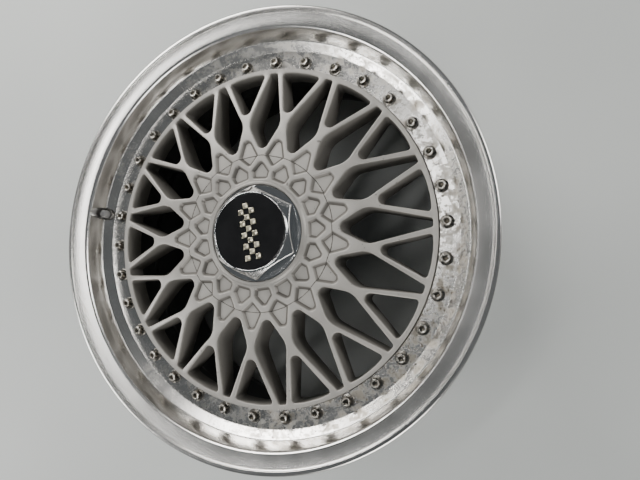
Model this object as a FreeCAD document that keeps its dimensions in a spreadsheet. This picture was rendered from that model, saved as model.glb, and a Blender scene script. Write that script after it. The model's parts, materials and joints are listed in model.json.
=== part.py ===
"""Three-piece cross-spoke racing wheel rim, 17 x 8 inch, lying face up.

Frame: millimetres, +Z is the wheel axis and points out of the face.  The origin is the
middle of the hub mounting face.  Heights in the sheet are measured from that face.
"""
import FreeCAD, Part
import math
import os

import Sketcher

FULL_TURN = 360.0

DIMENSIONS = {
    # rim halves, all on the wheel axis
    "bolt_plane": 44.0,
    "window_depth": 45.0,
    "lip_bore": 180.6,
    "lip_flange_edge": 200.2,
    "lip_cone_edge": 208.4,
    "lip_cone_rise": 7.4,
    "lip_step": 0.9,
    "lip_wall_top": 214.3,
    "lip_wall_rise": 26.1,
    "lip_flare_edge": 228.2,
    "lip_flare_rise": 30.7,
    "rim_edge": 235.5,
    "rim_edge_rise": 32.4,
    "bead_groove": 0.7,
    "bead_width": 5.7,
    "flange_curl": 5.4,
    "seat_radius": 218.3,
    "seat_taper": 1.1,
    "lip_thick": 6.0,
    "lip_foot": 211.0,
    "bead_round": 2.8,
    "seat_round": 6.0,
    "between_flanges": 203.2,
    "rim_flange_thick": 13.0,
    "barrel_flange_thick": 5.0,
    "barrel_well": 199.4,
    "barrel_wall": 4.1,
    "barrel_drum": 213.4,
    "well_end": 66.0,
    "drum_start": 92.0,
    "inner_seat_width": 22.0,
    "seal_leg": 2.0,
    # wheel centre
    "center_rim": 180.0,
    "center_rim_rise": 4.0,
    "center_flange": 195.0,
    "center_flange_thick": 8.0,
    "spoke_back_rim": 176.4,
    "plateau_edge": 129.0,
    "plateau_rise": 17.4,
    "plateau_middle": 106.0,
    "plateau_middle_rise": 20.9,
    "slope_edge": 171.0,
    "slope_rise": 4.8,
    "plate_seat": 81.0,
    "face_rise": 22.2,
    "seat_depth": 5.7,
    "lug_cavity": 76.5,
    "lug_pad": 16.0,
    "hub_bore": 36.3,
    "hub_outer": 76.0,
    "hub_skirt": 84.0,
    "hub_skirt_rise": 24.0,
    "spoke_back": 90.0,
    "spoke_back_rise": 30.0,
    "boss_outer": 47.0,
    "boss_top": 36.0,
    "boss_bore": 42.0,
    # mesh, one petal of the pattern
    "petals": 17,
    "mesh_draft": 2.4,
    "pocket_depth": 3.0,
    "pocket_slope": 45.0,
    # rim fasteners
    "bolt_count": 34,
    "bolt_circle": 188.0,
    "bolt_shank": 3.5,
    "bolt_hole": 3.65,
    "bolt_flange": 6.8,
    "bolt_flange_thick": 1.3,
    "bolt_head_flats": 8.2,
    "bolt_head_top": 7.0,
    "bolt_head_lip": 0.7,
    "bolt_crown": 3.9,
    "bolt_dimple": 2.6,
    "bolt_dimple_depth": 1.2,
    "washer_outer": 6.4,
    "washer_thick": 1.2,
    "rim_nut_flats": 11.0,
    "rim_nut_thick": 6.5,
    "shank_spare": 1.8,
    # wheel bolts to the hub
    "lug_count": 5,
    "lug_circle": 60.0,
    "lug_hole": 7.25,
    # cover plate, nut and cap
    "plate_radius": 80.7,
    "plate_hole": 41.0,
    "plate_recess": 50.3,
    "plate_ring": 52.6,
    "plate_ring_rise": 24.3,
    "plate_ledge_rise": 19.4,
    "seal_inner": 42.6,
    "seal_outer": 48.8,
    "seal_thick": 1.2,
    "nut_flange": 49.4,
    "nut_flange_thick": 2.6,
    "nut_flats": 84.0,
    "nut_turn": 37.0,
    "nut_top": 37.2,
    "nut_mouth": 39.9,
    "nut_cone_edge": 40.4,
    "nut_cone_low": 48.6,
    "nut_cone_drop": 10.6,
    "nut_ledge": 33.5,
    "nut_skirt": 37.4,
    "nut_bore": 33.4,
    "nut_skirt_low": 20.0,
    "thread_inner": 37.7,
    "trim_inner": 38.45,
    "trim_width": 1.45,
    "trim_top": 37.9,
    "disc_radius": 38.4,
    "disc_top": 37.3,
    "disc_skirt_low": 26.5,
    "disc_skirt_inner": 31.6,
    "disc_skirt_outer": 33.3,
    "clip_radius": 33.9,
    "clip_wire": 0.75,
    "clip_height": 29.5,
    "emblem_cell": 5.8,
    "emblem_height": 1.3,
    "emblem_gap": 0.5,
    "emblem_columns": 3,
    "emblem_rows": 10,
    "emblem_turn": 14.0,
    # tyre valve
    "valve_circle": 207.3,
    "valve_turn": 174.706,
    "valve_hole": 4.2,
    "valve_pocket": 7.3,
    "valve_body": 4.0,
    "valve_thread": 3.0,
    "valve_top": 10.0,
    "valve_bore": 1.9,
    "valve_head": 5.6,
    "valve_head_thick": 3.0,
    "valve_tail": 6.0,
    "grommet_thick": 2.0,
    "valve_washer_outer": 6.6,
    "valve_washer_thick": 0.8,
    "valve_nut_flats": 11.6,
    "valve_nut_thick": 3.4,
    "valve_cap_radius": 4.3,
    "valve_cap_low": 5.2,
    "valve_cap_top": 13.0,
    "valve_cap_bore": 3.3,
    "valve_cap_roof": 1.4,
    "valve_nut_top": 4.2,
    "cap_seal_thick": 0.8,
    "core_low": 1.0,
    "core_length": 8.0,
    "core_bore": 1.5,
    "core_pin": 0.6,
    "core_pin_proud": 0.8,
    "core_seat": 0.8,
    "core_seat_thick": 0.8,
    "core_collar": 1.3,
    "core_collar_thick": 0.8,
    "core_wall": 1.8,
    "core_wire": 0.2,
    "core_coil": 1.15,
    "core_pitch": 0.9,
    "core_turns": 6,
    "core_ledge": 1.0,
    "core_spring_low": 1.2,
}

# Corners of the mesh outlines, as (along the petal's radius, across it, corner radius).
LARGE_WINDOW = [(81.7, 0.0, 6.7), (114.4, 18.7, 20.0), (176.0, 4.85, 3.4)]
TRIANGLE_WINDOW = [(117.9, 0.0, 6.4), (173.9, 23.2, 4.0), (176.3, 9.0, 60.0)]
OUTER_POCKET = [(110.0, 0.0, 6.3), (80.3, 12.0, 3.6), (68.4, 0.0, 3.6)]
INNER_POCKET = [(78.4, 0.0, 5.0), (64.6, 10.8, 3.6), (55.6, 8.5, 3.6)]

doc = FreeCAD.newDocument("RacingRim")
sheet = doc.addObject("Spreadsheet::Sheet", "Sheet")
for row, (alias, value) in enumerate(DIMENSIONS.items(), start=1):
    sheet.set(f"A{row}", alias)
    sheet.set(f"B{row}", str(value))
    sheet.setAlias(f"B{row}", alias)
doc.recompute()

subparts = []


def size(formula):
    """The value of a sum of aliases and plain numbers, such as 'bolt_plane - lip_thick'."""
    total = 0.0
    sign = 1.0
    for word in formula.split():
        if word in "+-":
            sign = 1.0 if word == "+" else -1.0
            continue
        amount = sheet.get(word) if word in DIMENSIONS else float(word)
        total += sign * float(amount)
        sign = 1.0
    return total


def bound(formula):
    """The same sum, written as an expression on the sheet."""
    words = formula.split()
    return " ".join(f"Sheet.{word}" if word in DIMENSIONS else word for word in words)


def register(feature, label):
    """Note a finished sub-part under the name that its file takes."""
    feature.Label = label
    subparts.append(feature)
    return feature


def origin_feature(body, role):
    """One of the body's own origin planes or axes."""
    return next(item for item in body.Origin.OriginFeatures if item.Role == role)


def sketch_on(body, name, role, height="0"):
    """An empty sketch on one of the body's origin planes, raised by a height."""
    sketch = body.newObject("Sketcher::SketchObject", name)
    sketch.AttachmentSupport = [(origin_feature(body, role), "")]
    sketch.MapMode = "FlatFace"
    sketch.setExpression("AttachmentOffset.Base.z", bound(height))
    return sketch


def closed_profile(sketch, corners):
    """A polygon whose corners are pinned to formulas of the sheet."""
    points = [FreeCAD.Vector(size(across), size(up), 0) for across, up in corners]
    count = len(points)
    for index, start in enumerate(points):
        sketch.addGeometry(Part.LineSegment(start, points[(index + 1) % count]), False)
    for index in range(count):
        sketch.addConstraint(Sketcher.Constraint("Coincident", index, 2, (index + 1) % count, 1))
    for index, (across, up) in enumerate(corners):
        for kind, formula in (("DistanceX", across), ("DistanceY", up)):
            pin = Sketcher.Constraint(kind, -1, 1, index, 1, size(formula))
            number = sketch.addConstraint(pin)
            sketch.setExpression(f"Constraints[{number}]", bound(formula))


def turned_body(name, corners):
    """A body turned about the wheel axis from a profile of (radius, height) corners."""
    body = doc.addObject("PartDesign::Body", name)
    sketch = sketch_on(body, name + "_profile", "XZ_Plane")
    closed_profile(sketch, corners)
    turn = body.newObject("PartDesign::Revolution", name + "_turning")
    turn.Profile = sketch
    turn.ReferenceAxis = (sketch, ["V_Axis"])
    turn.Angle = FULL_TURN
    doc.recompute()
    return body


def rounded_outline(corners, height):
    """A closed wire of straight runs and tangent arcs; corners are (x, y, radius)."""
    tangents = []
    count = len(corners)
    for index, (x, y, radius) in enumerate(corners):
        here = FreeCAD.Vector(x, y, height)
        before = FreeCAD.Vector(*corners[index - 1][:2], height).sub(here).normalize()
        after = FreeCAD.Vector(*corners[(index + 1) % count][:2], height).sub(here).normalize()
        half_angle = before.getAngle(after) / 2
        reach = radius / math.tan(half_angle)
        bisector = before.add(after).normalize()
        middle = here.add(bisector.multiply(radius / math.sin(half_angle) - radius))
        start = here.add(before.multiply(reach))
        end = here.add(after.multiply(reach))
        tangents.append((start, middle, end))
    edges = []
    for index, (start, middle, end) in enumerate(tangents):
        edges.append(Part.Arc(start, middle, end).toShape())
        edges.append(Part.makeLine(end, tangents[(index + 1) % count][0]))
    return Part.Wire(edges)


def petal_corners(half_outline, turn):
    """Mirror half of an outline across its own radius and turn it about the axis."""
    mirrored = [(x, -y, radius) for x, y, radius in reversed(half_outline) if y > 0]
    cosine = math.cos(math.radians(turn))
    sine = math.sin(math.radians(turn))
    return [(x * cosine - y * sine, x * sine + y * cosine, radius)
            for x, y, radius in half_outline + mirrored]


def pattern_round_axis(body, feature, count):
    """Repeat a feature evenly round the wheel axis."""
    pattern = body.newObject("PartDesign::PolarPattern", feature.Name + "_round")
    pattern.Originals = [feature]
    pattern.Axis = (origin_feature(body, "Z_Axis"), [""])
    pattern.Angle = FULL_TURN
    pattern.setExpression("Occurrences", bound(count))
    body.Tip = pattern
    doc.recompute()
    return pattern


def inset_corners(corners, inset):
    """Move every side of an outline inwards by the same amount."""
    count = len(corners)
    points = [FreeCAD.Vector(x, y, 0) for x, y, _ in corners]
    middle = sum(points, FreeCAD.Vector()).multiply(1 / count)
    moved = []
    for index, (_, _, radius) in enumerate(corners):
        here = points[index]
        before = points[index - 1].sub(here).normalize()
        after = points[(index + 1) % count].sub(here).normalize()
        half_angle = before.getAngle(after) / 2
        inwards = before.add(after).normalize()
        if inwards.dot(middle.sub(here)) < 0:
            inwards = inwards.negative()
        corner = here.add(inwards.multiply(inset / math.sin(half_angle)))
        moved.append((corner.x, corner.y, radius - inset))
    return moved


def petal_cutters(name, outlines):
    """Tapered cutters for every petal; an outline is (corners, turn, top, depth, slope)."""
    cutters = []
    petals = int(size("petals"))
    for half_outline, turn, top, depth, slope in outlines:
        corners = petal_corners(half_outline, turn)
        inset = size(depth) * math.tan(math.radians(size(slope)))
        mouth = rounded_outline(corners, size(top))
        floor = rounded_outline(inset_corners(corners, inset), size(top) - size(depth))
        cutter = Part.makeLoft([mouth, floor], True, True)
        for petal in range(petals):
            turned = cutter.copy()
            turned.rotate(FreeCAD.Vector(), FreeCAD.Vector(0, 0, 1), petal * FULL_TURN / petals)
            cutters.append(turned)
    tool = doc.addObject("Part::Feature", name)
    tool.Shape = Part.makeCompound(cutters)
    return tool


def cut_away(label, base, tool):
    """A finished sub-part: a base with a group of cutters taken out of it."""
    cut = doc.addObject("Part::Cut", label)
    cut.Base = base
    cut.Tool = tool
    doc.recompute()
    if cut.Shape.Volume > base.Shape.Volume - 1.0:
        raise RuntimeError(f"{label} lost nothing to its cutters")
    return register(cut, label)


def cut_round_holes(body, name, circle, radius, count, top, depth, start_turn=90.0):
    """Round holes on a circle, the first at start_turn."""
    before = body.Shape.Volume
    sketch = sketch_on(body, name + "_circle", "XY_Plane", top)
    direction = math.radians(start_turn)
    middle = FreeCAD.Vector(size(circle) * math.cos(direction), size(circle) * math.sin(direction), 0)
    sketch.addGeometry(Part.Circle(middle, FreeCAD.Vector(0, 0, 1), size(radius)), False)
    number = sketch.addConstraint(Sketcher.Constraint("Radius", 0, size(radius)))
    sketch.setExpression(f"Constraints[{number}]", bound(radius))
    pocket = body.newObject("PartDesign::Pocket", name)
    pocket.Profile = sketch
    pocket.Type = "Length"
    pocket.setExpression("Length", bound(depth))
    doc.recompute()
    if count:
        pattern_round_axis(body, pocket, count)
    check_cut(body, before, name)


def check_cut(body, before, name):
    """A cut that removed nothing is a mistake, so stop there."""
    doc.recompute()
    if body.Shape.Volume > before - 1.0:
        raise RuntimeError(f"{name} cut nothing")


def round_circles(body, name, circles, radius):
    """Fillet the edges that are circles of the given (radius, height) about the axis."""
    wanted = [(size(across), size(up)) for across, up in circles]
    names = []
    for number, edge in enumerate(body.Shape.Edges, start=1):
        if not isinstance(edge.Curve, Part.Circle):
            continue
        height = edge.Curve.Center.z
        for across, up in wanted:
            if abs(edge.Curve.Radius - across) < 0.01 and abs(height - up) < 0.01:
                names.append(f"Edge{number}")
    if len(names) < len(wanted):
        raise RuntimeError(f"{name} found {len(names)} of {len(wanted)} edges")
    base = body.Tip
    fillet = body.newObject("PartDesign::Fillet", name)
    fillet.Base = (base, names)
    fillet.setExpression("Radius", bound(radius))
    body.Tip = fillet
    doc.recompute()


def ring_part(label, outer, inner, low, thick):
    """A plain ring on the wheel axis, cut from two cylinders."""
    rod = doc.addObject("Part::Cylinder", label + "_outside")
    rod.setExpression("Radius", bound(outer))
    rod.setExpression("Height", bound(thick))
    hole = doc.addObject("Part::Cylinder", label + "_inside")
    hole.setExpression("Radius", bound(inner))
    hole.setExpression("Height", bound(thick))
    ring = doc.addObject("Part::Cut", label)
    ring.Base = rod
    ring.Tool = hole
    ring.setExpression("Placement.Base.z", bound(low))
    doc.recompute()
    return register(ring, label)


# ---------------------------------------------------------------- rim halves
def make_outer_lip():
    """The polished outer rim half: bolt flange, sloped ring, steep wall, flare and bead."""
    lip_bottom = "bolt_plane - lip_thick"
    lip = turned_body("outer_lip", [
        ("lip_bore", lip_bottom),
        ("lip_foot", lip_bottom),
        ("seat_radius - seat_taper", "bolt_plane"),
        ("seat_radius", "bolt_plane + rim_edge_rise - rim_flange_thick"),
        ("rim_edge - flange_curl", "bolt_plane + rim_edge_rise - rim_flange_thick"),
        ("rim_edge", "bolt_plane + rim_edge_rise - rim_flange_thick + flange_curl"),
        ("rim_edge", "bolt_plane + rim_edge_rise"),
        ("rim_edge - bead_width", "bolt_plane + rim_edge_rise"),
        ("rim_edge - bead_width", "bolt_plane + lip_flare_rise"),
        ("lip_flare_edge + bead_groove", "bolt_plane + lip_flare_rise - bead_groove"),
        ("lip_flare_edge", "bolt_plane + lip_flare_rise"),
        ("lip_wall_top", "bolt_plane + lip_wall_rise"),
        ("lip_cone_edge + lip_step", "bolt_plane + lip_cone_rise + lip_step"),
        ("lip_cone_edge + lip_step", "bolt_plane + lip_cone_rise"),
        ("lip_cone_edge", "bolt_plane + lip_cone_rise"),
        ("lip_flange_edge", "bolt_plane"),
        ("lip_bore", "bolt_plane"),
    ])
    top = "bolt_plane + rim_edge_rise"
    round_circles(lip, "lip_bead_round", [("rim_edge", top)], "bead_round")
    round_circles(lip, "lip_seat_round",
                  [("seat_radius", top + " - rim_flange_thick")], "seat_round")
    cut_round_holes(lip, "lip_bolt_holes", "bolt_circle", "bolt_hole", "bolt_count",
                    "bolt_plane", "lip_thick")
    cut_round_holes(lip, "lip_valve_hole", "valve_circle", "valve_hole", None,
                    "bolt_plane + lip_wall_rise", "lip_wall_rise + lip_thick",
                    size("valve_turn"))
    cut_round_holes(lip, "lip_valve_pocket", "valve_circle", "valve_pocket", None,
                    "bolt_plane + lip_wall_rise", "lip_wall_rise", size("valve_turn"))
    register(lip, "outer_lip")


def make_inner_barrel():
    """The plain inner rim half: bolt flange, drop well, drum, bead seat and rear flange."""
    top = "bolt_plane - lip_thick"
    rear = "bolt_plane + rim_edge_rise - rim_flange_thick - between_flanges"
    barrel = turned_body("inner_barrel", [
        ("lip_bore", top),
        ("lip_bore", top + " - barrel_flange_thick"),
        ("barrel_well - barrel_wall", top + " - barrel_flange_thick"),
        ("barrel_well - barrel_wall", top + " - well_end"),
        ("barrel_drum - barrel_wall", top + " - drum_start"),
        ("barrel_drum - barrel_wall", rear + " + inner_seat_width"),
        ("lip_wall_top", rear + " - seat_taper"),
        ("rim_edge - bead_width", rear + " - rim_flange_thick"),
        ("rim_edge", rear + " - rim_flange_thick"),
        ("rim_edge", rear + " - flange_curl"),
        ("rim_edge - flange_curl", rear),
        ("seat_radius", rear),
        ("seat_radius - seat_taper", rear + " + inner_seat_width"),
        ("barrel_drum", rear + " + inner_seat_width + barrel_wall"),
        ("barrel_drum", top + " - drum_start"),
        ("barrel_well", top + " - well_end"),
        ("barrel_well", top),
    ])
    round_circles(barrel, "barrel_bead_round",
                  [("rim_edge", rear + " - rim_flange_thick")], "bead_round")
    round_circles(barrel, "barrel_seat_round", [("seat_radius", rear)], "seat_round")
    cut_round_holes(barrel, "barrel_bolt_holes", "bolt_circle", "bolt_hole", "bolt_count",
                    top, "barrel_flange_thick")
    register(barrel, "inner_barrel")


def make_rim_seal():
    """The sealant bead in the corner between the two rim halves."""
    top = "bolt_plane - lip_thick"
    seal = turned_body("rim_seal", [
        ("barrel_well", top),
        ("barrel_well", top + " - seal_leg"),
        ("barrel_well + seal_leg", top),
    ])
    register(seal, "rim_seal")


# ---------------------------------------------------------------- wheel centre
def make_wheel_center():
    """The forged centre: hub pad, lug cavity, cross spokes and rim ring."""
    back = "bolt_plane - lip_thick - barrel_flange_thick"
    blank = turned_body("center_blank", [
        ("hub_bore", "0"),
        ("hub_outer", "0"),
        ("hub_skirt", "hub_skirt_rise"),
        ("spoke_back", "spoke_back_rise"),
        ("plateau_edge", "spoke_back_rise + 1"),
        ("spoke_back_rim", back + " - center_flange_thick"),
        ("center_flange", back + " - center_flange_thick"),
        ("center_flange", back),
        ("center_rim", back),
        ("center_rim", "bolt_plane + center_rim_rise"),
        ("spoke_back_rim", "bolt_plane + center_rim_rise"),
        ("slope_edge", "bolt_plane + slope_rise"),
        ("plateau_edge", "bolt_plane + plateau_rise"),
        ("plateau_middle", "bolt_plane + plateau_middle_rise"),
        ("plate_seat", "bolt_plane + face_rise"),
        ("plate_seat", "bolt_plane + face_rise - seat_depth"),
        ("lug_cavity", "bolt_plane + face_rise - seat_depth"),
        ("lug_cavity", "lug_pad"),
        ("boss_outer", "lug_pad"),
        ("boss_outer", "boss_top"),
        ("boss_bore", "boss_top"),
        ("boss_bore", "lug_pad"),
        ("hub_bore", "lug_pad"),
    ])
    cut_round_holes(blank, "center_bolt_holes", "bolt_circle", "bolt_hole", "bolt_count",
                    back, "center_flange_thick")
    cut_round_holes(blank, "lug_holes", "lug_circle", "lug_hole", "lug_count",
                    "lug_pad", "lug_pad")
    top = "bolt_plane + face_rise"
    between = 90.0 + FULL_TURN / size("petals") / 2
    cutters = petal_cutters("center_cutters", [
        (LARGE_WINDOW, 90.0, top, "window_depth", "mesh_draft"),
        (TRIANGLE_WINDOW, between, top, "window_depth", "mesh_draft"),
        (OUTER_POCKET, between, top, "pocket_depth", "pocket_slope"),
    ])
    cut_away("wheel_center", blank, cutters)


def make_cover_plate():
    """The removable middle plate of the face, with the pockets of the mesh pattern."""
    seat = "bolt_plane + face_rise - seat_depth"
    blank = turned_body("plate_blank", [
        ("plate_hole", seat),
        ("plate_radius", seat),
        ("plate_radius", "bolt_plane + face_rise"),
        ("plate_ring + 2", "bolt_plane + face_rise"),
        ("plate_ring", "bolt_plane + plate_ring_rise"),
        ("plate_recess", "bolt_plane + plate_ring_rise"),
        ("plate_recess", "bolt_plane + plate_ledge_rise"),
        ("plate_hole", "bolt_plane + plate_ledge_rise"),
    ])
    top = "bolt_plane + face_rise"
    between = 90.0 + FULL_TURN / size("petals") / 2
    cutters = petal_cutters("plate_cutters", [
        (OUTER_POCKET, between, top, "pocket_depth", "pocket_slope"),
        (INNER_POCKET, 90.0, top, "pocket_depth", "pocket_slope"),
    ])
    cut_away("cover_plate", blank, cutters)


def make_thread_ring():
    """The threaded ring in the hub boss that the middle nut screws into."""
    ring_part("thread_ring", "boss_bore", "thread_inner", "lug_pad", "boss_top - lug_pad")


# ---------------------------------------------------------------- nut and cap
def clip_groove(name, inner, outer):
    """The square groove that the wire clip sits in."""
    low = "bolt_plane + clip_height - clip_wire - 0.05"
    high = "bolt_plane + clip_height + clip_wire + 0.05"
    return turned_body(name, [(inner, low), (outer, low), (outer, high), (inner, high)])


def make_center_nut():
    """The six-sided nut that clamps the cover plate, with its threaded skirt."""
    low = "bolt_plane + plate_ledge_rise + seal_thick"
    top = "bolt_plane + nut_top"
    hexagon = doc.addObject("Part::Prism", "nut_hexagon")
    hexagon.Polygon = 6
    hexagon.setExpression("Circumradius", "Sheet.nut_flats / 2 / cos(30 deg)")
    hexagon.setExpression("Height", bound("nut_top - plate_ledge_rise - seal_thick"))
    hexagon.setExpression("Placement.Base.z", bound(low))
    hexagon.Placement.Rotation = FreeCAD.Rotation(FreeCAD.Vector(0, 0, 1), size("nut_turn"))
    cone = turned_body("nut_cone", [
        ("0", low),
        ("nut_cone_low", low),
        ("nut_cone_low", top + " - nut_cone_drop"),
        ("nut_cone_edge", top),
        ("0", top),
    ])
    head = doc.addObject("Part::Common", "nut_head")
    head.Base = hexagon
    head.Tool = cone
    flange = turned_body("nut_flange_body", [
        ("nut_bore", low),
        ("nut_flange", low),
        ("nut_flange", low + " + nut_flange_thick"),
        ("nut_bore", low + " + nut_flange_thick + 1.2"),
    ])
    skirt = turned_body("nut_skirt_body", [
        ("nut_bore", "bolt_plane - nut_skirt_low"),
        ("nut_skirt", "bolt_plane - nut_skirt_low"),
        ("nut_skirt", low),
        ("nut_bore", low),
    ])
    outside = doc.addObject("Part::MultiFuse", "nut_outside")
    outside.Shapes = [head, flange, skirt]
    inside = turned_body("nut_inside", [
        ("0", "bolt_plane - nut_skirt_low - 1"),
        ("nut_bore", "bolt_plane - nut_skirt_low - 1"),
        ("nut_bore", "bolt_plane + nut_ledge"),
        ("nut_mouth", "bolt_plane + nut_ledge"),
        ("nut_mouth", top + " + 1"),
        ("0", top + " + 1"),
    ])
    grooved = doc.addObject("Part::Cut", "nut_bored")
    grooved.Base = outside
    grooved.Tool = inside
    groove = clip_groove("nut_clip_groove", "disc_skirt_outer", "clip_radius + clip_wire + 0.05")
    nut = doc.addObject("Part::Cut", "center_nut")
    nut.Base = grooved
    nut.Tool = groove
    doc.recompute()
    register(nut, "center_nut")
    ring_part("nut_seal", "seal_outer", "seal_inner", "bolt_plane + plate_ledge_rise", "seal_thick")


def make_cap():
    """Black disc, bright trim ring, wire clip and the raised chequered badge."""
    top = "bolt_plane + disc_top"
    disc = turned_body("disc_body", [
        ("0", "bolt_plane + nut_ledge"),
        ("disc_skirt_inner", "bolt_plane + nut_ledge"),
        ("disc_skirt_inner", "bolt_plane + disc_skirt_low"),
        ("disc_skirt_outer", "bolt_plane + disc_skirt_low"),
        ("disc_skirt_outer", "bolt_plane + nut_ledge"),
        ("disc_radius", "bolt_plane + nut_ledge"),
        ("disc_radius", top),
        ("0", top),
    ])
    groove = clip_groove("disc_clip_groove", "clip_radius - clip_wire - 0.05", "nut_bore")
    cap = doc.addObject("Part::Cut", "cap_disc")
    cap.Base = disc
    cap.Tool = groove
    clip = doc.addObject("Part::Torus", "cap_clip")
    clip.setExpression("Radius1", bound("clip_radius"))
    clip.setExpression("Radius2", bound("clip_wire"))
    clip.setExpression("Placement.Base.z", bound("bolt_plane + clip_height"))
    doc.recompute()
    register(cap, "cap_disc")
    register(clip, "cap_clip")
    ring_part("cap_trim", "trim_inner + trim_width", "trim_inner", "bolt_plane + nut_ledge",
              "trim_top - nut_ledge")
    make_emblem()


def make_emblem():
    """Raised squares in a chequered strip across the cap, one solid each."""
    cell = size("emblem_cell")
    height = size("emblem_height")
    columns = int(size("emblem_columns"))
    rows = int(size("emblem_rows"))
    squares = []
    for column in range(columns):
        for row in range(rows):
            if (column + row) % 2:
                continue
            across = (column - columns / 2) * cell
            along = (row - rows / 2) * cell
            corner = FreeCAD.Vector(across, along, size("bolt_plane + disc_top"))
            gap = size("emblem_gap")
            square = Part.makeBox(cell - gap, cell - gap, height, corner + FreeCAD.Vector(gap, gap, 0) / 2)
            square.rotate(FreeCAD.Vector(), FreeCAD.Vector(0, 0, 1), size("emblem_turn"))
            squares.append(square)
    emblem = doc.addObject("Part::Feature", "cap_emblem")
    emblem.Shape = Part.makeCompound(squares)
    register(emblem, "cap_emblem")


# ---------------------------------------------------------------- rim fasteners
def round_the_rim(label, template):
    """One node of identical pieces, a copy of the template at every rim bolt."""
    count = int(size("bolt_count"))
    copies = []
    for index in range(count):
        copy = template.Shape.copy()
        copy.translate(FreeCAD.Vector(0, size("bolt_circle"), 0))
        copy.rotate(FreeCAD.Vector(), FreeCAD.Vector(0, 0, 1), -index * FULL_TURN / count)
        copies.append(copy)
    group = doc.addObject("Part::Feature", label)
    group.Shape = Part.makeCompound(copies)
    return register(group, label)


def cylinder(name, radius, low, height):
    """A Part cylinder on the wheel axis, bound to the sheet."""
    rod = doc.addObject("Part::Cylinder", name)
    rod.setExpression("Radius", bound(radius))
    rod.setExpression("Height", bound(height))
    rod.setExpression("Placement.Base.z", bound(low))
    return rod


def hexagon_prism(name, flats, low, height, turn=0.0):
    """A six-sided prism on the wheel axis, sized across its flats."""
    prism = doc.addObject("Part::Prism", name)
    prism.Polygon = 6
    prism.setExpression("Circumradius", f"Sheet.{flats} / 2 / cos(30 deg)")
    prism.setExpression("Height", bound(height))
    prism.setExpression("Placement.Base.z", bound(low))
    prism.Placement.Rotation = FreeCAD.Rotation(FreeCAD.Vector(0, 0, 1), turn)
    return prism


def fused(name, pieces):
    """Several document objects joined into one solid."""
    whole = doc.addObject("Part::MultiFuse", name)
    whole.Shapes = pieces
    doc.recompute()
    return whole


def minus(name, base, tool):
    """One document object with another taken out of it."""
    cut = doc.addObject("Part::Cut", name)
    cut.Base = base
    cut.Tool = tool
    doc.recompute()
    return cut


def make_rim_fasteners():
    """Twelve-point bolts from the face, with washers and nuts behind the centre."""
    back = "bolt_plane - lip_thick - barrel_flange_thick - center_flange_thick"
    shank_low = back + " - washer_thick - rim_nut_thick - shank_spare"
    stack = "lip_thick + barrel_flange_thick + center_flange_thick + washer_thick"
    shank = cylinder("bolt_shank_rod", "bolt_shank", shank_low,
                     stack + " + rim_nut_thick + shank_spare")
    flange = cylinder("bolt_flange_disc", "bolt_flange", "bolt_plane", "bolt_flange_thick")
    head = "bolt_head_top - bolt_head_lip"
    points = [hexagon_prism(f"bolt_points_{turn}", "bolt_head_flats", "bolt_plane", head, turn)
              for turn in (0, 30)]
    crown = cylinder("bolt_crown", "bolt_crown", "bolt_plane", "bolt_head_top")
    dimple = cylinder("bolt_dimple_rod", "bolt_dimple", "bolt_plane + bolt_head_top - bolt_dimple_depth",
                      "bolt_dimple_depth + 1")
    whole = fused("bolt_solid", [shank, flange, crown] + points)
    round_the_rim("rim_bolts", minus("bolt_template", whole, dimple))

    washer = minus("washer_template",
                   cylinder("washer_disc", "washer_outer", back + " - washer_thick", "washer_thick"),
                   cylinder("washer_hole", "bolt_hole", back + " - washer_thick", "washer_thick"))
    round_the_rim("rim_washers", washer)
    nut_low = back + " - washer_thick - rim_nut_thick"
    nut = minus("rim_nut_template",
                hexagon_prism("rim_nut_prism", "rim_nut_flats", nut_low, "rim_nut_thick"),
                cylinder("rim_nut_hole", "bolt_shank", nut_low, "rim_nut_thick"))
    round_the_rim("rim_nuts", nut)


# ---------------------------------------------------------------- tyre valve
def at_valve(feature, label):
    """Move a piece made on the wheel axis out to the valve."""
    moved = doc.addObject("Part::Feature", label)
    shape = feature.Shape.copy()
    direction = math.radians(size("valve_turn"))
    shape.translate(FreeCAD.Vector(math.cos(direction), math.sin(direction), 0) * size("valve_circle"))
    moved.Shape = shape
    return register(moved, label)


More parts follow.
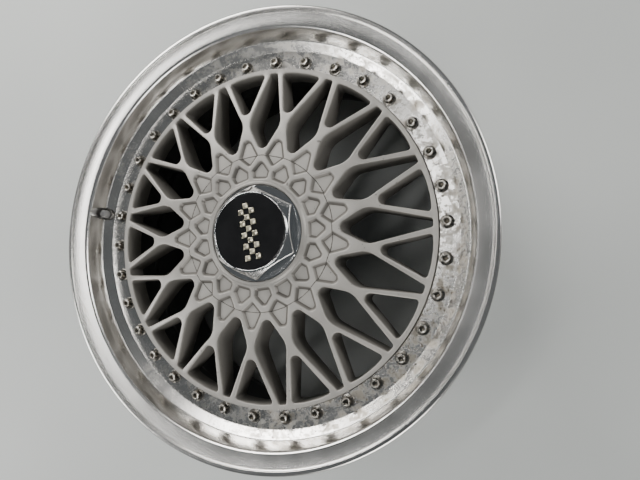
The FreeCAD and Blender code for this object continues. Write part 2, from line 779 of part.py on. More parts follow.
def make_valve():
    """Clamp-in metal valve: stem, grommet, washer, nut, core with its pin, and cap."""
    foot = "bolt_plane - lip_thick"
    head_low = foot + " - grommet_thick - valve_head_thick"
    stem = fused("stem_solid", [
        cylinder("stem_tail", "valve_body", head_low + " - valve_tail", "valve_tail"),
        cylinder("stem_head", "valve_head", head_low, "valve_head_thick"),
        cylinder("stem_body", "valve_body", foot + " - grommet_thick",
                 "grommet_thick + lip_thick + valve_nut_top"),
        cylinder("stem_thread", "valve_thread", "bolt_plane", "valve_top"),
    ])
    bore = cylinder("stem_bore", "valve_bore", head_low + " - valve_tail",
                    "valve_tail + valve_head_thick + grommet_thick + lip_thick + valve_top")
    at_valve(minus("stem_template", stem, bore), "valve_stem")
    grommet = minus("grommet_template",
                    cylinder("grommet_disc", "valve_head", foot + " - grommet_thick", "grommet_thick"),
                    cylinder("grommet_hole", "valve_body", foot + " - grommet_thick", "grommet_thick"))
    at_valve(grommet, "valve_grommet")
    washer = minus("valve_washer_template",
                   cylinder("valve_washer_disc", "valve_washer_outer", "bolt_plane",
                            "valve_washer_thick"),
                   cylinder("valve_washer_hole", "valve_body", "bolt_plane", "valve_washer_thick"))
    at_valve(washer, "valve_washer")
    nut = minus("valve_nut_template",
                hexagon_prism("valve_nut_prism", "valve_nut_flats", "bolt_plane + valve_washer_thick",
                              "valve_nut_thick"),
                cylinder("valve_nut_hole", "valve_body", "bolt_plane + valve_washer_thick",
                         "valve_nut_thick"))
    at_valve(nut, "valve_nut")
    make_valve_core()
    seal_low = "bolt_plane + valve_cap_low - cap_seal_thick"
    seal = minus("cap_seal_template",
                 cylinder("cap_seal_disc", "valve_cap_radius", seal_low, "cap_seal_thick"),
                 cylinder("cap_seal_hole", "valve_thread + 0.1", seal_low, "cap_seal_thick"))
    at_valve(seal, "valve_cap_seal")
    hollow_low = "bolt_plane + valve_cap_low"
    cap = minus("cap_template",
                cylinder("cap_outside", "valve_cap_radius", hollow_low, "valve_cap_top - valve_cap_low"),
                cylinder("cap_hollow", "valve_cap_bore", hollow_low,
                         "valve_cap_top - valve_cap_low - valve_cap_roof"))
    at_valve(cap, "valve_cap")


def make_valve_core():
    """Core barrel, spring and the pin that lets the air out when it is pressed."""
    body_low = "bolt_plane + core_low"
    ledge_hole = minus("core_ledge_template",
                       cylinder("core_barrel", "core_wall", body_low, "core_length"),
                       cylinder("core_hole", "core_pin + 0.2", body_low, "core_ledge"))
    body = minus("core_body_template", ledge_hole,
                 cylinder("core_hollow", "core_bore", body_low + " + core_ledge",
                          "core_length - core_ledge"))
    at_valve(body, "valve_core_body")
    pin = fused("core_pin_template", [
        cylinder("pin_rod", "core_pin", body_low + " - core_seat",
                 "core_length + core_seat + core_pin_proud"),
        cylinder("pin_seat", "core_wall", body_low + " - core_seat", "core_seat_thick"),
        cylinder("pin_collar", "core_collar", body_low + " + core_length - core_collar_thick",
                 "core_collar_thick"),
    ])
    at_valve(pin, "valve_core_pin")
    helix = Part.makeHelix(size("core_pitch"), size("core_pitch") * size("core_turns"),
                           size("core_coil"))
    wire = Part.Wire(helix.Edges)
    start = FreeCAD.Vector(size("core_coil"), 0, 0)
    half = size("core_wire")
    corners = [start + FreeCAD.Vector(across, 0, up)
               for across, up in ((-half, -half), (half, -half), (half, half), (-half, half))]
    section = Part.makePolygon(corners + corners[:1])
    spring = doc.addObject("Part::Feature", "spring_template")
    spring.Shape = wire.makePipeShell([section], True, True)
    spring.Placement.Base.z = size(body_low + " + core_spring_low")
    at_valve(spring, "valve_core_spring")


for make_part in (make_outer_lip, make_inner_barrel, make_rim_seal, make_wheel_center,
                  make_cover_plate, make_thread_ring, make_center_nut, make_cap,
                  make_rim_fasteners, make_valve):
    make_part()

doc.recompute()
for item in doc.Objects:
    if "Invalid" in item.State or "Error" in item.State:
        raise RuntimeError(f"{item.Name} did not compute: {item.State}")
for subpart in subparts:
    if subpart.Shape.isNull() or not subpart.Shape.isValid():
        raise RuntimeError(f"{subpart.Label} has no valid shape")
os.makedirs("parts", exist_ok=True)
for subpart in subparts:
    subpart.Shape.exportStep(f"parts/{subpart.Label}.step")
    print(subpart.Label, len(subpart.Shape.Solids), round(subpart.Shape.Volume, 1))
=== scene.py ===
"""Looks of a bolted three-piece racing wheel rim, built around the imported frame."""
import json
import math

import bmesh
import bpy
import numpy as np
from mathutils.geometry import delaunay_2d_cdt
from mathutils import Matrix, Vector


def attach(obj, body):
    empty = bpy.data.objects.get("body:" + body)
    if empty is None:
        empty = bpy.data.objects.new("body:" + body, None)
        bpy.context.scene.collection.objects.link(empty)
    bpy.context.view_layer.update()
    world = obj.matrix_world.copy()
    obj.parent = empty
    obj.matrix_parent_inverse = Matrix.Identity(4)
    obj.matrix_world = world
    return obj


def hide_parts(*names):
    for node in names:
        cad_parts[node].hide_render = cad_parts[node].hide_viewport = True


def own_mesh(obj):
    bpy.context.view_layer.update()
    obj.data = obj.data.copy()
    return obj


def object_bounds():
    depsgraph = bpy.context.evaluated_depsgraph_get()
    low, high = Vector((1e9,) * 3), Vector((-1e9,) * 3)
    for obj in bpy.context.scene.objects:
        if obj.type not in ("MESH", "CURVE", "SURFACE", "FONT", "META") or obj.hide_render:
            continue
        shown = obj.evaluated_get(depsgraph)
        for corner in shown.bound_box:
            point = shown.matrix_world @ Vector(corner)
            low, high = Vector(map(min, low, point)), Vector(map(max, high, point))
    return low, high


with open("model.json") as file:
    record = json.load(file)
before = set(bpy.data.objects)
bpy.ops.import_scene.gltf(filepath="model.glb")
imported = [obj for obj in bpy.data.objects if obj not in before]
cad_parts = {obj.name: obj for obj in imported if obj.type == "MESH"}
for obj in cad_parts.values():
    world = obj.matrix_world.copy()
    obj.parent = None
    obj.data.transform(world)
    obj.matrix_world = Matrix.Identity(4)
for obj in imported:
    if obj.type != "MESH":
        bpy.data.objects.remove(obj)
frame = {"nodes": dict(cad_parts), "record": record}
cad_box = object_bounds()

# Lengths are in millimetres unless a line says otherwise; show_mesh turns them into metres.
MM = 0.001
PETALS = 17
SECTOR = math.tau / PETALS
FIRST = math.pi / 2  # direction of the first petal, and of the first bolt
BETWEEN = FIRST + SECTOR / 2
STEPS = PETALS * 20  # round the face
RIM_STEPS = PETALS * 24  # round the rim halves
BOLTS = 2 * PETALS
BOLT_CIRCLE = 188.0
BOLT_PLANE = 44.0  # where the bolts' washers bear on the lip
VALVE_AXIS = (-206.415, 19.127)
VALVE_HOLE, VALVE_POCKET = 4.2, 7.3  # radii


# ---------------------------------------------------------------- camera, light and floor
def make_camera():
    data = bpy.data.cameras.new("camera")
    data.lens = 27.42
    data.sensor_width = 36.0
    data.clip_start = 0.01
    camera = bpy.data.objects.new("camera", data)
    camera.location = (0.22346, -0.03893, 0.51408)
    camera.rotation_euler = [math.radians(angle) for angle in (5.1108, 18.7637, 3.2576)]
    bpy.context.scene.collection.objects.link(camera)
    bpy.context.scene.camera = camera


def area_light(name, place, target, width, height, power, colour):
    data = bpy.data.lights.new(name, "AREA")
    data.shape = "RECTANGLE"
    data.size = width
    data.size_y = height
    data.energy = power
    data.color = colour
    light = bpy.data.objects.new(name, data)
    light.location = place
    aim = np.array(target) - np.array(place)
    light.rotation_euler = Vector(aim).to_track_quat("-Z", "Y").to_euler()
    bpy.context.scene.collection.objects.link(light)


def make_lights():
    area_light("key_light", (-1.0, 1.2, 0.95), (0, 0, 0), 1.3, 0.55, 27.0, (1.0, 0.975, 0.94))
    area_light("left_light", (-1.5, -0.7, 0.85), (0, 0, 0), 0.7, 0.5, 13.0, (1.0, 0.985, 0.96))
    area_light("right_light", (1.45, 0.75, 0.8), (0, 0, 0), 0.7, 0.5, 12.0, (1.0, 0.985, 0.96))
    area_light("low_light", (0.55, -1.5, 0.85), (0, 0, 0), 0.8, 0.5, 13.0, (1.0, 0.98, 0.95))
    area_light("top_strip", (-0.3, 0.25, 1.9), (0, 0, 0), 0.9, 0.12, 4.0, (1.0, 0.985, 0.96))
    world = bpy.data.worlds.new("studio")
    world.use_nodes = True
    background = world.node_tree.nodes["Background"]
    background.inputs["Color"].default_value = (0.7, 0.75, 0.78, 1)
    background.inputs["Strength"].default_value = 0.12
    bpy.context.scene.world = world


# ---------------------------------------------------------------- materials
def add_node(tree, kind, inputs=None, **settings):
    made = tree.nodes.new(kind)
    for key, value in settings.items():
        setattr(made, key, value)
    for socket, value in (inputs or {}).items():
        if isinstance(value, bpy.types.NodeSocket):
            tree.links.new(value, made.inputs[socket])
        else:
            made.inputs[socket].default_value = value
    return made


def new_material(name, **values):
    material = bpy.data.materials.new(name)
    material.use_nodes = True
    shader = material.node_tree.nodes["Principled BSDF"]
    for socket, value in values.items():
        shader.inputs[socket.replace("_", " ")].default_value = value
    return material, material.node_tree, shader


def math_node(tree, operation, first, second=0.0):
    return add_node(tree, "ShaderNodeMath", {0: first, 1: second}, operation=operation).outputs[0]


def place_of(tree):
    return add_node(tree, "ShaderNodeTexCoord").outputs["Object"]


def noise_of(tree, place, scale, detail=3.0, roughness=0.55):
    found = add_node(tree, "ShaderNodeTexNoise", {"Vector": place, "Scale": scale,
                     "Detail": detail, "Roughness": roughness})
    return found.outputs[0]


def remap(tree, value, low, high, out_low, out_high):
    found = add_node(tree, "ShaderNodeMapRange", {"Value": value, "From Min": low,
                     "From Max": high, "To Min": out_low, "To Max": out_high})
    return found.outputs[0]


def blend_colours(tree, factor, first, second):
    found = add_node(tree, "ShaderNodeMix", data_type="RGBA")
    for socket, value in ((0, factor), (6, first), (7, second)):
        if isinstance(value, bpy.types.NodeSocket):
            tree.links.new(value, found.inputs[socket])
        else:
            found.inputs[socket].default_value = value
    return found.outputs[2]


def radius_of(tree, place):
    parts = add_node(tree, "ShaderNodeSeparateXYZ", {0: place}).outputs
    square = math_node(tree, "ADD", math_node(tree, "MULTIPLY", parts[0], parts[0]),
                       math_node(tree, "MULTIPLY", parts[1], parts[1]))
    return math_node(tree, "SQRT", square), parts


def bump_of(tree, shader, height, strength, distance):
    bump = add_node(tree, "ShaderNodeBump", {"Height": height, "Strength": strength,
                    "Distance": distance})
    tree.links.new(bump.outputs[0], shader.inputs["Normal"])


def plain_finish(name, colour, metallic, low, high, scale, shade=0.85, grain=0.15,
                 distance=0.0001, **values):
    """A finish with uneven colour, uneven gloss and a fine surface grain."""
    material, tree, shader = new_material(name, Metallic=metallic, **values)
    place = place_of(tree)
    coarse = noise_of(tree, place, scale)
    fine = noise_of(tree, place, scale * 12, 4.0)
    tree.links.new(remap(tree, coarse, 0.3, 0.7, low, high), shader.inputs["Roughness"])
    dark = [part * shade for part in colour]
    mixed = blend_colours(tree, remap(tree, coarse, 0.35, 0.65, 0.0, 1.0),
                          (*dark, 1), (*colour, 1))
    tree.links.new(mixed, shader.inputs["Base Color"])
    bump_of(tree, shader, fine, grain, distance)
    return material


def lip_finish():
    """Polished aluminium, hazed, with turning rings, and corroded in patches at the bolts."""
    material, tree, shader = new_material("polished_lip", Metallic=1.0, Anisotropic=0.5)
    tangent = add_node(tree, "ShaderNodeTangent", direction_type="RADIAL", axis="Z")
    tree.links.new(tangent.outputs[0], shader.inputs["Tangent"])
    place = place_of(tree)
    radius, parts = radius_of(tree, place)
    across = math_node(tree, "ADD", math_node(tree, "MULTIPLY", radius, 1400.0),
                       math_node(tree, "MULTIPLY", parts[2], 900.0))
    rings = add_node(tree, "ShaderNodeTexNoise", {"W": across, "Scale": 1.0, "Detail": 3.0},
                     noise_dimensions="1D").outputs[0]
    haze = noise_of(tree, place, 22.0, 5.0, 0.6)
    specks = noise_of(tree, place, 330.0, 5.0, 0.7)
    blotches = noise_of(tree, place, 95.0, 5.0, 0.65)
    drift = noise_of(tree, place, 7.0, 2.0)
    flange = math_node(tree, "MULTIPLY", remap(tree, radius, 0.2088, 0.2065, 0.0, 1.0),
                       remap(tree, parts[2], 0.0625, 0.0545, 0.0, 1.0))
    side = remap(tree, math_node(tree, "ADD", parts[0],
                 math_node(tree, "MULTIPLY", parts[1], -0.25)), -0.13, 0.16, 0.0, 1.0)
    where = math_node(tree, "MULTIPLY", flange,
                      math_node(tree, "ADD", math_node(tree, "MULTIPLY", side, 0.75),
                                remap(tree, drift, 0.45, 0.6, 0.0, 0.5)))
    spots = math_node(tree, "MULTIPLY", where, remap(tree, specks, 0.55, 0.66, 0.0, 0.9))
    patches = math_node(tree, "MULTIPLY", where, remap(tree, blotches, 0.47, 0.62, 0.0, 0.8))
    worn = math_node(tree, "MAXIMUM", spots, patches)
    metal = blend_colours(tree, remap(tree, haze, 0.35, 0.65, 0.0, 1.0),
                          (0.84, 0.825, 0.8, 1), (0.9, 0.89, 0.87, 1))
    pitted = blend_colours(tree, patches, metal, (0.56, 0.52, 0.45, 1))
    stained = blend_colours(tree, spots, pitted, (0.2, 0.17, 0.13, 1))
    tree.links.new(stained, shader.inputs["Base Color"])
    gloss = math_node(tree, "ADD", remap(tree, haze, 0.3, 0.7, 0.16, 0.22),
                      math_node(tree, "MULTIPLY", rings, 0.08))
    rough = math_node(tree, "ADD", gloss, math_node(tree, "MULTIPLY", worn, 0.32))
    tree.links.new(rough, shader.inputs["Roughness"])
    height = math_node(tree, "ADD", math_node(tree, "MULTIPLY", rings, 0.25),
                       math_node(tree, "MULTIPLY", spots, -1.0))
    bump_of(tree, shader, height, 0.22, 0.0002)
    return material


def barrel_finish():
    """Bare aluminium outside; inside the well, near-black brake dust that also serves as painted
    shade.
    """
    material, tree, shader = new_material("barrel_alloy")
    place = place_of(tree)
    streaks = noise_of(tree, place, 18.0, 4.0)
    grain = noise_of(tree, place, 400.0, 3.0)
    normal = add_node(tree, "ShaderNodeNewGeometry").outputs["Normal"]
    flat = add_node(tree, "ShaderNodeVectorMath", {0: place, 1: (1.0, 1.0, 0.0)},
                    operation="MULTIPLY").outputs[0]
    facing = add_node(tree, "ShaderNodeVectorMath", {0: normal, 1: flat},
                      operation="DOT_PRODUCT").outputs["Value"]
    outside = math_node(tree, "GREATER_THAN", facing, 0.0)
    # Painted shade: inner faces get a near-black, barely metallic colour that stands for brake dust
    # and the shade inside the barrel together.
    dust_and_shade = blend_colours(tree, remap(tree, streaks, 0.3, 0.7, 0.0, 1.0),
                         (0.012, 0.013, 0.014, 1), (0.03, 0.03, 0.03, 1))
    bare = blend_colours(tree, remap(tree, streaks, 0.35, 0.65, 0.0, 1.0),
                         (0.46, 0.46, 0.45, 1), (0.58, 0.58, 0.57, 1))
    tree.links.new(blend_colours(tree, outside, dust_and_shade, bare), shader.inputs["Base Color"])
    tree.links.new(remap(tree, outside, 0.0, 1.0, 0.15, 0.95), shader.inputs["Metallic"])
    tree.links.new(remap(tree, streaks, 0.3, 0.7, 0.34, 0.55), shader.inputs["Roughness"])
    bump_of(tree, shader, grain, 0.12, 0.0002)
    return material


def paint_finish():
    """Matt silver paint with a fine orange peel, painted shade in its pockets and recesses, and
    small chips.
    """
    material, tree, shader = new_material("center_paint", Metallic=0.35, Specular_IOR_Level=0.4)
    place = place_of(tree)
    cloud = noise_of(tree, place, 14.0, 4.0)
    peel = noise_of(tree, place, 900.0, 2.0)
    chips = noise_of(tree, place, 210.0, 2.0, 0.4)
    painted_shade = add_node(tree, "ShaderNodeAttribute", attribute_name="painted_shade").outputs["Fac"]
    paint = blend_colours(tree, remap(tree, cloud, 0.35, 0.65, 0.0, 1.0),
                          (0.43, 0.415, 0.39, 1), (0.5, 0.485, 0.455, 1))
    # Painted shade: the per-point attribute darkens the paint towards near black on pocket slopes,
    # window walls, the seam and hidden faces.
    shaded_paint = blend_colours(tree, math_node(tree, "MULTIPLY", painted_shade,
                          remap(tree, cloud, 0.3, 0.7, 0.8, 1.0)), paint,
                          (0.075, 0.068, 0.058, 1))
    chipped = blend_colours(tree, remap(tree, chips, 0.735, 0.76, 0.0, 0.8), shaded_paint,
                            (0.2, 0.19, 0.18, 1))
    tree.links.new(chipped, shader.inputs["Base Color"])
    tree.links.new(remap(tree, cloud, 0.3, 0.7, 0.4, 0.52), shader.inputs["Roughness"])
    bump_of(tree, shader, peel, 0.12, 0.0001)
    return material


def bolt_finish():
    """Plated steel with dark specks; a painted highlight on the crown and flange, and painted shade
    on the sides of the points.
    """
    material, tree, shader = new_material("bolt_steel", Metallic=1.0)
    place = place_of(tree)
    height = radius_of(tree, place)[1][2]
    grain = noise_of(tree, place, 260.0, 4.0)
    # Painted highlight and shade by height: the crown's top and the flange are painted bright, the
    # sides of the points dark.
    above = remap(tree, height, 0.0501, 0.0504, 0.0, 1.0)
    below = remap(tree, height, 0.0458, 0.0453, 0.0, 0.45)
    bright = math_node(tree, "MAXIMUM", above, below)
    steel = blend_colours(tree, bright, (0.13, 0.12, 0.1, 1), (0.66, 0.64, 0.6, 1))
    mixed = blend_colours(tree, remap(tree, grain, 0.5, 0.68, 0.0, 0.6), steel,
                          (0.16, 0.13, 0.1, 1))
    tree.links.new(mixed, shader.inputs["Base Color"])
    tree.links.new(remap(tree, grain, 0.3, 0.7, 0.16, 0.4), shader.inputs["Roughness"])
    bump_of(tree, shader, grain, 0.15, 0.0001)
    return material


def make_finishes():
    return {
        "polished_lip": lip_finish(),
        "barrel_alloy": barrel_finish(),
        "center_paint": paint_finish(),
        "black_sealant": plain_finish("black_sealant", (0.03, 0.03, 0.03), 0.0, 0.6, 0.8, 60.0),
        "ring_alloy": plain_finish("ring_alloy", (0.6, 0.6, 0.6), 1.0, 0.25, 0.4, 80.0),
        "nut_chrome": plain_finish("nut_chrome", (0.86, 0.87, 0.88), 1.0, 0.04, 0.12, 60.0,
                                   0.94, 0.04, 0.00005),
        "cap_black": plain_finish("cap_black", (0.012, 0.012, 0.013), 0.0, 0.05, 0.13, 50.0,
                                  0.7, 0.03, 0.00005, Coat_Weight=0.6, Coat_Roughness=0.04),
        "badge_metal": plain_finish("badge_metal", (0.92, 0.85, 0.66), 1.0, 0.24, 0.36, 90.0,
                                    0.9, 0.05, 0.00005),
        "bolt_steel": bolt_finish(),
        "spring_steel": plain_finish("spring_steel", (0.5, 0.5, 0.5), 1.0, 0.25, 0.4, 200.0),
        "black_rubber": plain_finish("black_rubber", (0.03, 0.03, 0.031), 0.0, 0.55, 0.75, 90.0),
        "valve_metal": plain_finish("valve_metal", (0.46, 0.45, 0.43), 1.0, 0.22, 0.4, 150.0, 0.7),
        "valve_cap_metal": plain_finish("valve_cap_metal", (0.42, 0.42, 0.42), 0.8, 0.35, 0.5,
                                        150.0, 0.75),
        "core_brass": plain_finish("core_brass", (0.7, 0.52, 0.24), 1.0, 0.25, 0.4, 150.0),
    }


# ---------------------------------------------------------------- mesh building
def show_mesh(name, points, faces, slot, body, nodes, sharp=27.0, painted_shade=None, bevel=None):
    """A finished piece from points in mm; it takes the place of the named CAD nodes."""
    mesh = bpy.data.meshes.new(name)
    mesh.from_pydata([tuple(point) for point in np.array(points) * MM], [],
                     [tuple(face) for face in faces])
    # Per-point painted shade, read by the centre paint's attribute node.
    if painted_shade is not None:
        layer = mesh.attributes.new("painted_shade", "FLOAT", "POINT")
        layer.data.foreach_set("value", np.array(painted_shade, np.float32))
    work = bmesh.new()
    work.from_mesh(mesh)
    bmesh.ops.remove_doubles(work, verts=work.verts, dist=2e-6)
    bmesh.ops.recalc_face_normals(work, faces=work.faces)
    if bevel:
        edges = [edge for edge in work.edges if edge.is_manifold
                 and edge.calc_face_angle() > math.radians(40)]
        bmesh.ops.bevel(work, geom=edges, offset=bevel * MM, segments=2, profile=0.5,
                        affect="EDGES", clamp_overlap=True)
    work.to_mesh(mesh)
    work.free()
    mesh.shade_smooth()
    mesh.set_sharp_from_angle(angle=math.radians(sharp))
    mesh.materials.append(finishes[slot])
    piece = bpy.data.objects.new(name, mesh)
    bpy.context.scene.collection.objects.link(piece)
    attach(piece, body)
    if nodes:
        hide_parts(*nodes)
    return piece


def rounded_profile(corners):
    """Closed profile of (radius, height) points; corners are (radius, height, rounding)."""
    out = []
    for index, (x, y, rounding) in enumerate(corners):
        here = np.array((x, y), float)
        if rounding <= 0:
            out.append(here)
            continue
        before = np.array(corners[index - 1][:2]) - here
        after = np.array(corners[(index + 1) % len(corners)][:2]) - here
        spans = np.linalg.norm(before), np.linalg.norm(after)
        before, after = before / spans[0], after / spans[1]
        half = math.acos(np.clip(before @ after, -1, 1)) / 2
        reach = min(rounding / math.tan(half), 0.49 * min(spans))
        size = reach * math.tan(half)
        bisector = (before + after) / np.linalg.norm(before + after)
        centre = here + bisector * size / math.sin(half)
        start, end = here + before * reach - centre, here + after * reach - centre
        first = math.atan2(start[1], start[0])
        sweep = (math.atan2(end[1], end[0]) - first + math.pi) % math.tau - math.pi
        for part in np.linspace(0, 1, max(3, int(abs(sweep) / math.radians(12)) + 2)):
            angle = first + sweep * part
            out.append(centre + size * np.array((math.cos(angle), math.sin(angle))))
    return out


def turned(profile, steps=STEPS, shape=None, closed=True):
    """Points and faces of a profile turned round Z; shape(angle, row) scales a row's radius."""
    angles = FIRST + np.arange(steps) * math.tau / steps
    points, rows = [], []
    for index, (radius, height) in enumerate(profile):
        if radius < 1e-6:
            rows.append([len(points)] * steps)
            points.append((0.0, 0.0, height))
            continue
        rows.append(list(range(len(points), len(points) + steps)))
        for angle in angles:
            size = radius if shape is None else shape(angle, index, radius)
            points.append((size * math.cos(angle), size * math.sin(angle), height))
    faces = []
    pairs = list(zip(rows, rows[1:])) + ([(rows[-1], rows[0])] if closed else [])
    for low, high in pairs:
        for k in range(steps):
            corner = [low[k], low[(k + 1) % steps], high[(k + 1) % steps], high[k]]
            face = [v for n, v in enumerate(corner) if v != corner[n - 1]]
            if len(face) > 2:
                faces.append(face)
    return points, faces


# ---------------------------------------------------------------- mesh pattern of the face
# Corners are (along the petal's radius, across it, corner radius), one half of each outline.
LARGE_WINDOW = [(81.7, 0.0, 6.7), (114.4, 18.7, 20.0), (176.0, 4.85, 3.4)]
TRIANGLE_WINDOW = [(117.9, 0.0, 6.4), (173.9, 23.2, 4.0), (176.3, 9.0, 60.0)]
OUTER_POCKET = [(110.0, 0.0, 6.3), (80.3, 12.0, 3.6), (68.4, 0.0, 3.6)]
INNER_POCKET = [(78.4, 0.0, 5.0), (64.6, 10.8, 3.6), (55.6, 8.5, 3.6)]
FACE_TOP = 66.2
DRAFT = math.tan(math.radians(2.4))  # window walls
EDGE_ROUND = 1.1  # window edges
ROUND_SHARES = (0.0, 0.076, 0.293, 0.617, 1.0)  # 1 - cos of 0, 22.5, 45, 67.5 and 90 degrees
POCKET_DEPTH = 3.0
POCKET_ROUND = 1.5  # pocket edges, a round between the face and a 45 degree slope
ROUND_REACH, ROUND_WIDTH, ROUND_END = 0.4142, 0.7071, 0.2929  # of that radius: start, width, end
FLOOR_UNSHADED = 3.55  # distance inside a pocket's outline where its painted shade ends
JOINT = 80.85  # radius of the seam between the centre and the cover plate
CREASE, CREASE_DEPTH = 0.5, 0.45  # half width and depth of the seam's groove
CENTRE_SEAM, COVER_SEAM = 81.0, 80.7  # the two pieces' own radii at the seam
COVER_BORE = 54.6
COVER_BACK, COVER_BACK_BORE = 60.5, 41.0
RIM = 180.0  # outside of the centre's face
BACK_IN, BACK_OUT = 84.0, 176.4  # the mesh's back
SEAT_RADIUS = 76.5  # pocket under the cover plate
PAD_HEIGHT, PAD_RADIUS = 16.0, 76.0
BOSS_RADIUS, BORE_RADIUS = 47.0, 36.3
LUGS, LUG_CIRCLE, LUG_RADIUS = 5, 60.0, 7.25

FACE_RADII = np.arange(40.0, 200.0, 0.5)
FACE_HEIGHTS = np.interp(FACE_RADII, (81.0, 106.0, 129.0, 171.0, 176.4),
                         (FACE_TOP, 64.9, 61.4, 48.8, 48.0))
SMOOTH = 8  # samples each side that the face's slope is averaged over
FACE_HEIGHTS = np.convolve(np.pad(FACE_HEIGHTS, SMOOTH, "edge"),
                           np.ones(2 * SMOOTH + 1) / (2 * SMOOTH + 1), "valid")


def face_height(radius):
    """Height of the decorated face above the hub face."""
    return np.interp(radius, FACE_RADII, FACE_HEIGHTS)


def back_height(radius):
    """Height of the mesh's back."""
    return np.interp(radius, (BACK_IN, 90.0, 129.0, BACK_OUT), (24.0, 30.0, 31.0, 25.0))


def unit(vector):
    return vector / np.linalg.norm(vector)


def outline(half):
    """Points of a rounded outline and their outward directions, petal along +X."""
    corners = half + [(x, -y, r) for x, y, r in reversed(half) if y > 0]
    runs = []
    for index, (x, y, rounding) in enumerate(corners):
        here = np.array((x, y))
        before = unit(np.array(corners[index - 1][:2]) - here)
        after = unit(np.array(corners[(index + 1) % len(corners)][:2]) - here)
        angle = math.acos(np.clip(before @ after, -1, 1)) / 2
        centre = here + unit(before + after) * rounding / math.sin(angle)
        start = here + before * rounding / math.tan(angle) - centre
        end = here + after * rounding / math.tan(angle) - centre
        first = math.atan2(start[1], start[0])
        sweep = (math.atan2(end[1], end[0]) - first + math.pi) % math.tau - math.pi
        steps = max(3, math.ceil(abs(sweep) / math.radians(11)),
                    math.ceil(abs(sweep) * rounding / 3.0))
        turn = first + sweep * np.linspace(0, 1, steps + 1)
        normals = np.stack((np.cos(turn), np.sin(turn)), 1)
        runs.append((centre + rounding * normals, normals))
    points, normals = [], []
    for index, (run, directions) in enumerate(runs):
        target = runs[(index + 1) % len(runs)][0][0]
        points.extend(run)
        normals.extend(directions)
        count = int(np.linalg.norm(target - run[-1]) / 3.0)
        for k in range(1, count):
            points.append(run[-1] + (target - run[-1]) * k / count)
            normals.append(directions[-1])
    return np.array(points), np.array(normals)


def spin(points, turn):
    """Plan points turned about the wheel's axis."""
    cosine, sine = math.cos(turn), math.sin(turn)
    return np.stack((points[:, 0] * cosine - points[:, 1] * sine,
                     points[:, 0] * sine + points[:, 1] * cosine), 1)


def depth_inside(points, loop):
    """Distance to a loop, positive inside it."""
    a, b = loop, np.roll(loop, -1, 0)
    run = b - a
    out = []
    for part in np.array_split(points, max(1, len(points) // 4000)):
        away = part[:, None] - a[None]
        t = np.clip((away * run).sum(-1) / (run * run).sum(-1), 0, 1)
        gap = np.linalg.norm(away - t[..., None] * run, axis=-1).min(1)
        x, y = part[:, :1], part[:, 1:]
        spans = (a[:, 1] > y) != (b[:, 1] > y)
        rise = np.where(np.abs(run[:, 1]) < 1e-12, 1e-12, run[:, 1])
        crossing = a[:, 0] + (y - a[:, 1]) / rise * run[:, 0]
        inside = (spans & (x < crossing)).sum(1) % 2 == 1
        out.append(np.where(inside, gap, -gap))
    return np.concatenate(out)


def in_petal(points, turn):
    """Points turned back into the one petal that lies along +X."""
    radius = np.hypot(points[:, 0], points[:, 1])
    angle = np.arctan2(points[:, 1], points[:, 0]) - turn
    angle = (angle + SECTOR / 2) % SECTOR - SECTOR / 2
    return np.stack((radius * np.cos(angle), radius * np.sin(angle)), 1)


WINDOWS = [(outline(LARGE_WINDOW), FIRST), (outline(TRIANGLE_WINDOW), BETWEEN)]
POCKETS = [(outline(OUTER_POCKET), BETWEEN), (outline(INNER_POCKET), FIRST)]


def window_depth(points, height):
    """How far inside a window's drafted outline the points are at a height."""
    inset = (FACE_TOP - height) * DRAFT
    found = [depth_inside(in_petal(points, turn), loop) for (loop, _), turn in WINDOWS]
    return np.max(found, 0) - inset


def pocket_depth_at(points):
    """How far inside a pocket's outline the points are."""
    found = [depth_inside(in_petal(points, turn), loop) for (loop, _), turn in POCKETS]
    return np.max(found, 0)


def pocket_drop(inside):
    """Height lost at a distance inside a pocket's outline: rounded edge, slope, floor."""
    along = np.clip(inside + ROUND_REACH * POCKET_ROUND, 0, ROUND_WIDTH * POCKET_ROUND)
    curve = POCKET_ROUND - np.sqrt(POCKET_ROUND ** 2 - along ** 2)
    return np.where(inside < ROUND_END * POCKET_ROUND, curve, np.clip(inside, 0, POCKET_DEPTH))


def inset_loop(loop, normals, inset):
    """A loop moved inwards, without the parts that cross at corners or crowd together."""
    slack, spacing = 0.03, 0.25
    ring = loop - normals * inset
    if inset > 0:
        ring = ring[depth_inside(ring, loop) > inset - slack]
    kept = [0]
    for index in range(1, len(ring)):
        if np.linalg.norm(ring[index] - ring[kept[-1]]) > spacing:
            kept.append(index)
    if np.linalg.norm(ring[kept[-1]] - ring[0]) < spacing:
        kept.pop()
    return ring[kept]


def circle(radius, steps=STEPS):
    """Plan points of a circle about the wheel's axis."""
    angles = FIRST + np.arange(steps) * math.tau / steps
    return np.stack((radius * np.cos(angles), radius * np.sin(angles)), 1)


def filled(loops, loose=None):
    """Triangles of the plane with every loop kept as edges."""
    points, edges = [], []
    for loop in loops:
        start = len(points)
        points.extend(loop)
        edges.extend((start + k, start + (k + 1) % len(loop)) for k in range(len(loop)))
    if loose is not None:
        points.extend(loose)
    made = delaunay_2d_cdt([Vector((x, y)) for x, y in points], edges, [], 0, 1e-5)
    flat = np.array([(p.x, p.y) for p in made[0]])
    triangles = np.array([face[:] for face in made[2]])
    corner = flat[triangles]
    side_a, side_b = corner[:, 1] - corner[:, 0], corner[:, 2] - corner[:, 0]
    area = side_a[:, 0] * side_b[:, 1] - side_a[:, 1] * side_b[:, 0]
    triangles[area < 0] = triangles[area < 0][:, ::-1]
    return flat, triangles[np.abs(area) > 1e-9]


def border(triangles):
    """Edges that only one triangle uses, in that triangle's direction."""
    sides = np.concatenate([triangles[:, [0, 1]], triangles[:, [1, 2]], triangles[:, [2, 0]]])
    key = np.sort(sides, 1)
    _, index, count = np.unique(key, axis=0, return_index=True, return_counts=True)
    return sides[index[count == 1]]


